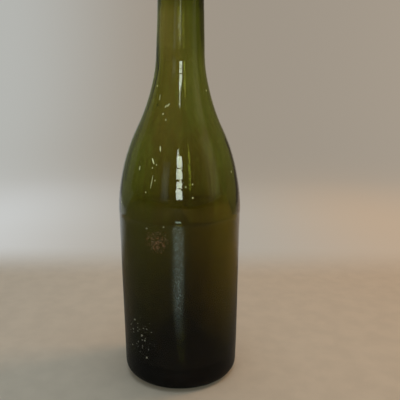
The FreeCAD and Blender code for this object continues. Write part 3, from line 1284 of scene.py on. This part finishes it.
def finished(name: str, mesh: bmesh.types.BMesh, material: bpy.types.Material) -> bpy.types.Object:
    """Object of a piece, in the scene.

    Args:
        name: Name of the piece.
        mesh: Its mesh in metres, which is used up.
        material: Its material.

    Returns:
        The object, smooth and dressed, at the origin.
    """
    for face in mesh.faces:
        face.smooth = True
    data = bpy.data.meshes.new(name)
    mesh.to_mesh(data)
    mesh.free()
    data.materials.append(material)
    piece = bpy.data.objects.new(name, data)
    bpy.context.scene.collection.objects.link(piece)
    return piece


@dataclass(frozen=True)
class SheetFinish:
    """Pale backing sheet: a lit floor under the bottle that fades into a glowing backdrop, whose colours
    are painted light: lighter and cooler at the left, darker in the middle, warmer at the right.

    Where the colours change is in metres. What the glass mirrors of the sheet is dimmer than
    what the camera sees of it.
    """

    floor_left: Colour = (0.69, 0.62, 0.54)
    floor_right: Colour = (0.71, 0.56, 0.43)
    floor_sides: Fade = Fade(-0.30, 0.30)
    # Glow of the cove and backdrop: painted light, lighter and cooler at the left, darker in the middle,
    # warmer at the right.
    bend: Sweep = Sweep(
        (0.58, 0.59, 0.58), (0.42, 0.385, 0.33), (0.50, 0.38, 0.27), Fade(-0.32, -0.02), Fade(0.02, 0.30)
    )
    wall: Sweep = Sweep(
        (0.46, 0.465, 0.44), (0.345, 0.30, 0.245), (0.40, 0.34, 0.27), Fade(-0.50, -0.05), Fade(0.10, 0.90)
    )
    # What the glass mirrors of the backdrop's sides and of the floor: painted reflections, dim, with
    # painted light at both sides of the floor, warmest at the right.
    mirrored: Sweep = Sweep(
        (0.20, 0.20, 0.17), None, (0.14, 0.11, 0.07), Fade(-0.70, -0.45), Fade(0.35, 0.60)
    )
    dim_floor: Sweep = Sweep(
        (0.34, 0.26, 0.13), (0.10, 0.09, 0.08), (0.60, 0.40, 0.08), Fade(-0.24, -0.08), Fade(0.07, 0.24)
    )
    dimming: float = 0.78
    surroundings: Colour = (0.43, 0.41, 0.38)
    roughness: float = 0.9
    sheen_of_paper: float = 0.1
    fibre_grain: Grain = Grain(60.0, 4.0)
    fibre_shade: Fade = Fade(0.3, 0.7, 0.97, 1.03)
    floor_to_bend: Fade = Fade(0.18, 0.30)
    bend_to_wall: Fade = Fade(0.40, 0.95)
    far_aside: Fade = Fade(0.60, 1.60)
    far_before: Fade = Fade(-1.60, -0.50, 1.0, 0.0)

    def make(self) -> bpy.types.Material:
        """Make the material.

        Returns:
            The material, whose far ends fade into the surroundings before the camera.
        """
        material, bench = new_material("backing_sheet")
        across = bench.axes["X"]
        depth = bench.axes["Y"]
        paper = bench.tinge(bench.fade(across, self.floor_sides), self.floor_left, self.floor_right)
        paper = bench.scaled(paper, bench.pattern(self.fibre_grain, self.fibre_shade))
        rise = bench.fade(depth, self.bend_to_wall)
        # The backdrop glows with painted light instead of being lit; mirrored rays see painted reflections.
        seen = bench.tinge(rise, bench.across(self.bend), bench.across(self.wall))
        shown = bench.tinge(bench.mirrored_ray(), seen, bench.across(self.mirrored, seen))
        lit = self.matt(bench, paper, self.sheen_of_paper)
        dark = self.matt(bench, bench.across(self.dim_floor), 0.0)
        floor = bench.mix(bench.times(bench.mirrored_ray(), self.dimming), lit, dark)
        sheet = bench.mix(bench.fade(depth, self.floor_to_bend), floor, bench.glow(shown))
        aside = bench.fade(bench.maths("ABSOLUTE", across), self.far_aside)
        far = bench.most(aside, bench.fade(depth, self.far_before))
        faded = bench.times(far, bench.ray(Ray.CAMERA))
        bench.add("OutputMaterial", {"Surface": bench.mix(faded, sheet, bench.glow(self.surroundings))})
        return material

    def matt(self, bench: NodeBench, colour: Socket, sheen: float) -> Socket:
        """Shader of matt paper with a colour."""
        inputs = {"Base Color": colour, "Roughness": self.roughness, "Specular IOR Level": sheen}
        return bench.shader("BsdfPrincipled", inputs)


@dataclass(frozen=True)
class FlagFinish:
    """Dull black card."""

    colour: Colour = (0.012, 0.012, 0.011)
    roughness: float = 0.9
    fibre_grain: Grain = Grain(400.0, 3.0)
    fibre_shade: Fade = Fade(0.3, 0.7, 0.8, 1.2)

    def make(self) -> bpy.types.Material:
        """Make the material.

        Returns:
            The material.
        """
        material, bench = new_material("black_card")
        colour = bench.scaled(self.colour, bench.pattern(self.fibre_grain, self.fibre_shade))
        card = bench.shader("BsdfPrincipled", {"Base Color": colour, "Roughness": self.roughness})
        bench.add("OutputMaterial", {"Surface": card})
        return material


def hung_lamp(name: str, size: tuple[float, float], colour: Colour, glow: float) -> bpy.types.Object:
    """Rectangular lamp, out of the camera's sight.

    Args:
        name: Name of the lamp.
        size: Width and height in metres.
        colour: Colour of its light.
        glow: Radiance of its face, where 1 is white.

    Returns:
        The lamp, at the origin.
    """
    data = bpy.data.lights.new(name, "AREA")
    data.shape = "RECTANGLE"
    data.size, data.size_y = size
    data.color = colour
    data.energy = glow * math.pi * size[0] * size[1]
    lamp = bpy.data.objects.new(name, data)
    lamp.visible_camera = False
    bpy.context.scene.collection.objects.link(lamp)
    return lamp


@dataclass(frozen=True)
class SoftLamp:
    """Lamp that is aimed at the bottle.

    Attributes:
        name: Name of the lamp.
        side: Degrees to the right of the camera's side of the bottle.
        height: Degrees above the horizon.
        distance: Metres from the middle of the bottle.
        size: Width and height in metres.
        colour: Colour of its light.
        glow: Radiance of its face, where 1 is white.
    """

    name: str
    side: float
    height: float
    distance: float
    size: tuple[float, float]
    colour: Colour
    glow: float

    def hang(self, aim: Vector) -> None:
        """Hang the lamp.

        Args:
            aim: Point that it is aimed at.
        """
        side = math.radians(self.side)
        rise = math.radians(self.height)
        level = math.cos(rise)
        away = Vector((math.sin(side) * level, -math.cos(side) * level, math.sin(rise)))
        lamp = hung_lamp(self.name, self.size, self.colour, self.glow)
        lamp.location = aim + away * self.distance
        lamp.rotation_euler = away.to_track_quat("Z", "Y").to_euler()


@dataclass(frozen=True)
class FloorStrip:
    """Lamp that lies on the floor before the bottle, face up, for the matt moulded skin to mirror.

    Attributes:
        name: Name of the lamp.
        near: Distance of its near end from the axis of the bottle, in metres.
        far: Distance of its far end.
        width: Its width.
        side: How far it lies to the right.
        glow: Radiance of its face, where 1 is white.
        colour: Colour of its light.
        lift: Height above the floor.
    """

    name: str
    near: float
    far: float
    width: float
    side: float
    glow: float
    colour: Colour = (0.78, 1.0, 0.90)
    lift: float = 0.002

    def lay(self) -> None:
        """Lay the lamp down, seen by nothing but what mirrors it."""
        lamp = hung_lamp(self.name, (self.width, self.far - self.near), self.colour, self.glow)
        lamp.location = (self.side, -(self.near + self.far) / 2, self.lift)
        lamp.rotation_euler = (HALF_TURN, 0.0, 0.0)
        lamp.visible_transmission = False


@dataclass
class Studio:
    """Floor, backdrop, lamps, surroundings and camera, in metres and degrees."""

    half_width: float = 5.0
    front: float = 3.0
    cove_start: float = 0.75
    cove_radius: float = 0.35
    cove_steps: int = 24
    wall_height: float = 2.4
    aim: Vector = field(default_factory=lambda: Vector((0.0, 0.0, 0.15)))
    lens: float = 50.94
    sensor: float = 36.0
    camera_place: Vector = field(default_factory=lambda: Vector((0.0133, -0.3852, 0.2090)))
    camera_dip: float = 12.31
    camera_roll: float = 0.4
    room: Colour = (0.05, 0.05, 0.05)
    flag_side: float = -131.0
    flag_distance: float = 0.8
    flag_foot: float = 0.06
    flag_size: tuple[float, float] = (0.20, 0.8)
    sheet: SheetFinish = field(default_factory=SheetFinish)
    flag: FlagFinish = field(default_factory=FlagFinish)
    lamps: tuple[SoftLamp, ...] = (
        SoftLamp("low_pane", 1.3, 5.0, 2.0, (0.34, 0.206), (0.90, 1.0, 0.90), 11.5),
        SoftLamp("second_pane", 1.3, 10.55, 2.0, (0.34, 0.136), (0.90, 1.0, 0.87), 11.0),
        SoftLamp("third_pane", 1.3, 16.85, 2.0, (0.34, 0.248), (0.90, 1.0, 0.87), 11.0),
        SoftLamp("top_pane", 1.3, 24.6, 2.0, (0.32, 0.250), (0.90, 1.0, 0.87), 11.0),
        SoftLamp("top_light", -1.5, 31.0, 2.0, (0.10, 0.24), (0.90, 1.0, 0.87), 9.0),
        SoftLamp("left_panel", -26.0, 12.0, 2.0, (0.50, 0.90), (0.75, 0.95, 1.0), 0.16),
        SoftLamp("left_panel_core", -26.0, 11.0, 1.99, (0.36, 0.66), (0.75, 0.95, 1.0), 0.16),
        SoftLamp("left_panel_heart", -26.0, 10.0, 1.98, (0.20, 0.42), (0.75, 0.95, 1.0), 0.16),
        SoftLamp("right_panel", 70.0, 17.0, 2.0, (0.95, 1.45), (1.0, 0.93, 0.58), 0.15),
        SoftLamp("right_panel_core", 72.0, 17.0, 1.99, (0.55, 1.20), (1.0, 0.93, 0.58), 0.17),
        SoftLamp("overhead", 10.0, 84.0, 1.4, (1.2, 1.2), (0.82, 0.96, 1.0), 1.5),
        SoftLamp("key", 108.0, 40.0, 1.5, (0.45, 0.45), (1.0, 0.60, 0.30), 8.0),
    )
    strips: tuple[FloorStrip, ...] = (
        FloorStrip("near_strip", 0.170, 0.187, 0.020, -0.002, 2.4),
        FloorStrip("middle_strip", 0.187, 0.255, 0.028, -0.004, 1.1),
        FloorStrip("far_strip", 0.255, 0.52, 0.050, -0.010, 4.4),
    )

    def lay_sheet(self) -> None:
        """Floor that rises in a cove to the backdrop."""
        mesh = bmesh.new()
        left = -self.half_width
        tip = bmesh.ops.create_vert(mesh, co=(left, -self.front, 0.0))["vert"][0]
        tip = bmesh.ops.extrude_vert_indiv(mesh, verts=[tip])["verts"][0]
        tip.co.y = self.cove_start
        centre = Vector((left, self.cove_start, self.cove_radius))
        swung = bmesh.ops.spin(
            mesh, geom=[tip], cent=centre, axis=SIDEWAYS, angle=QUARTER_TURN, steps=self.cove_steps
        )
        tip = bmesh.ops.extrude_vert_indiv(mesh, verts=[swung["geom_last"][0]])["verts"][0]
        tip.co.z = self.wall_height
        drawn = bmesh.ops.extrude_edge_only(mesh, edges=mesh.edges[:])["geom"]
        points = [item for item in drawn if isinstance(item, bmesh.types.BMVert)]
        bmesh.ops.translate(mesh, verts=points, vec=SIDEWAYS * (2 * self.half_width))
        bmesh.ops.recalc_face_normals(mesh, faces=mesh.faces)
        finished("backing_sheet", mesh, self.sheet.make())

    def stand_flag(self) -> None:
        """Dark card behind the bottle, out of the camera's sight, that draws the left edge of the glass."""
        mesh = bmesh.new()
        width, height = self.flag_size
        side = math.radians(self.flag_side)
        away = Vector((math.sin(side), -math.cos(side), 0.0)) * self.flag_distance
        place = Matrix.Translation(away + AXIS * (self.flag_foot + height / 2))
        shape = Matrix.Rotation(QUARTER_TURN, 4, "X") @ Matrix.Diagonal((width / 2, height / 2, 1.0, 1.0))
        stood = place @ Matrix.Rotation(side, 4, "Z") @ shape
        bmesh.ops.create_grid(mesh, x_segments=1, y_segments=1, size=1.0, matrix=stood)
        card = finished("flag", mesh, self.flag.make())
        card.visible_camera = False
        card.visible_glossy = False
        card.visible_shadow = False

    def surround(self) -> None:
        """World: pale behind the bottle and through it, dim where the glass mirrors the room."""
        world = bpy.data.worlds.new("studio")
        world.use_nodes = True
        bench = NodeBench(world.node_tree)
        shown = bench.most(bench.ray(Ray.CAMERA), bench.ray(Ray.TRANSMISSION))
        colour = bench.tinge(shown, self.room, self.sheet.surroundings)
        sky = bench.shader("Background", {"Color": colour, "Strength": 1.0})
        bench.add("OutputWorld", {"Surface": sky})
        bpy.context.scene.world = world

    def set_camera(self) -> None:
        """Camera at the height and slant from which the bottle was seen."""
        data = bpy.data.cameras.new("camera")
        data.sensor_width = self.sensor
        data.lens = self.lens
        camera = bpy.data.objects.new("camera", data)
        dip = Matrix.Rotation(QUARTER_TURN - math.radians(self.camera_dip), 4, "X")
        roll = Matrix.Rotation(math.radians(self.camera_roll), 4, "Z")
        camera.matrix_world = Matrix.Translation(self.camera_place) @ dip @ roll
        bpy.context.scene.collection.objects.link(camera)
        bpy.context.scene.camera = camera

    def build(self) -> None:
        """Set the whole studio up."""
        self.lay_sheet()
        for lamp in self.lamps:
            lamp.hang(self.aim)
        for strip in self.strips:
            strip.lay()
        self.stand_flag()
        self.surround()
        self.set_camera()
        bpy.context.scene.view_settings.view_transform = "Standard"


def main() -> None:
    """Build the pieces and the studio, and report them."""
    logging.basicConfig(level=logging.INFO, format="%(message)s")
    for maker in (BlownBottle(), CorkStopper()):
        piece = maker.build()
        LOG.info("%s: %d faces", piece.name, len(piece.data.polygons))
    Studio().build()


if __name__ == "__main__":
    main()
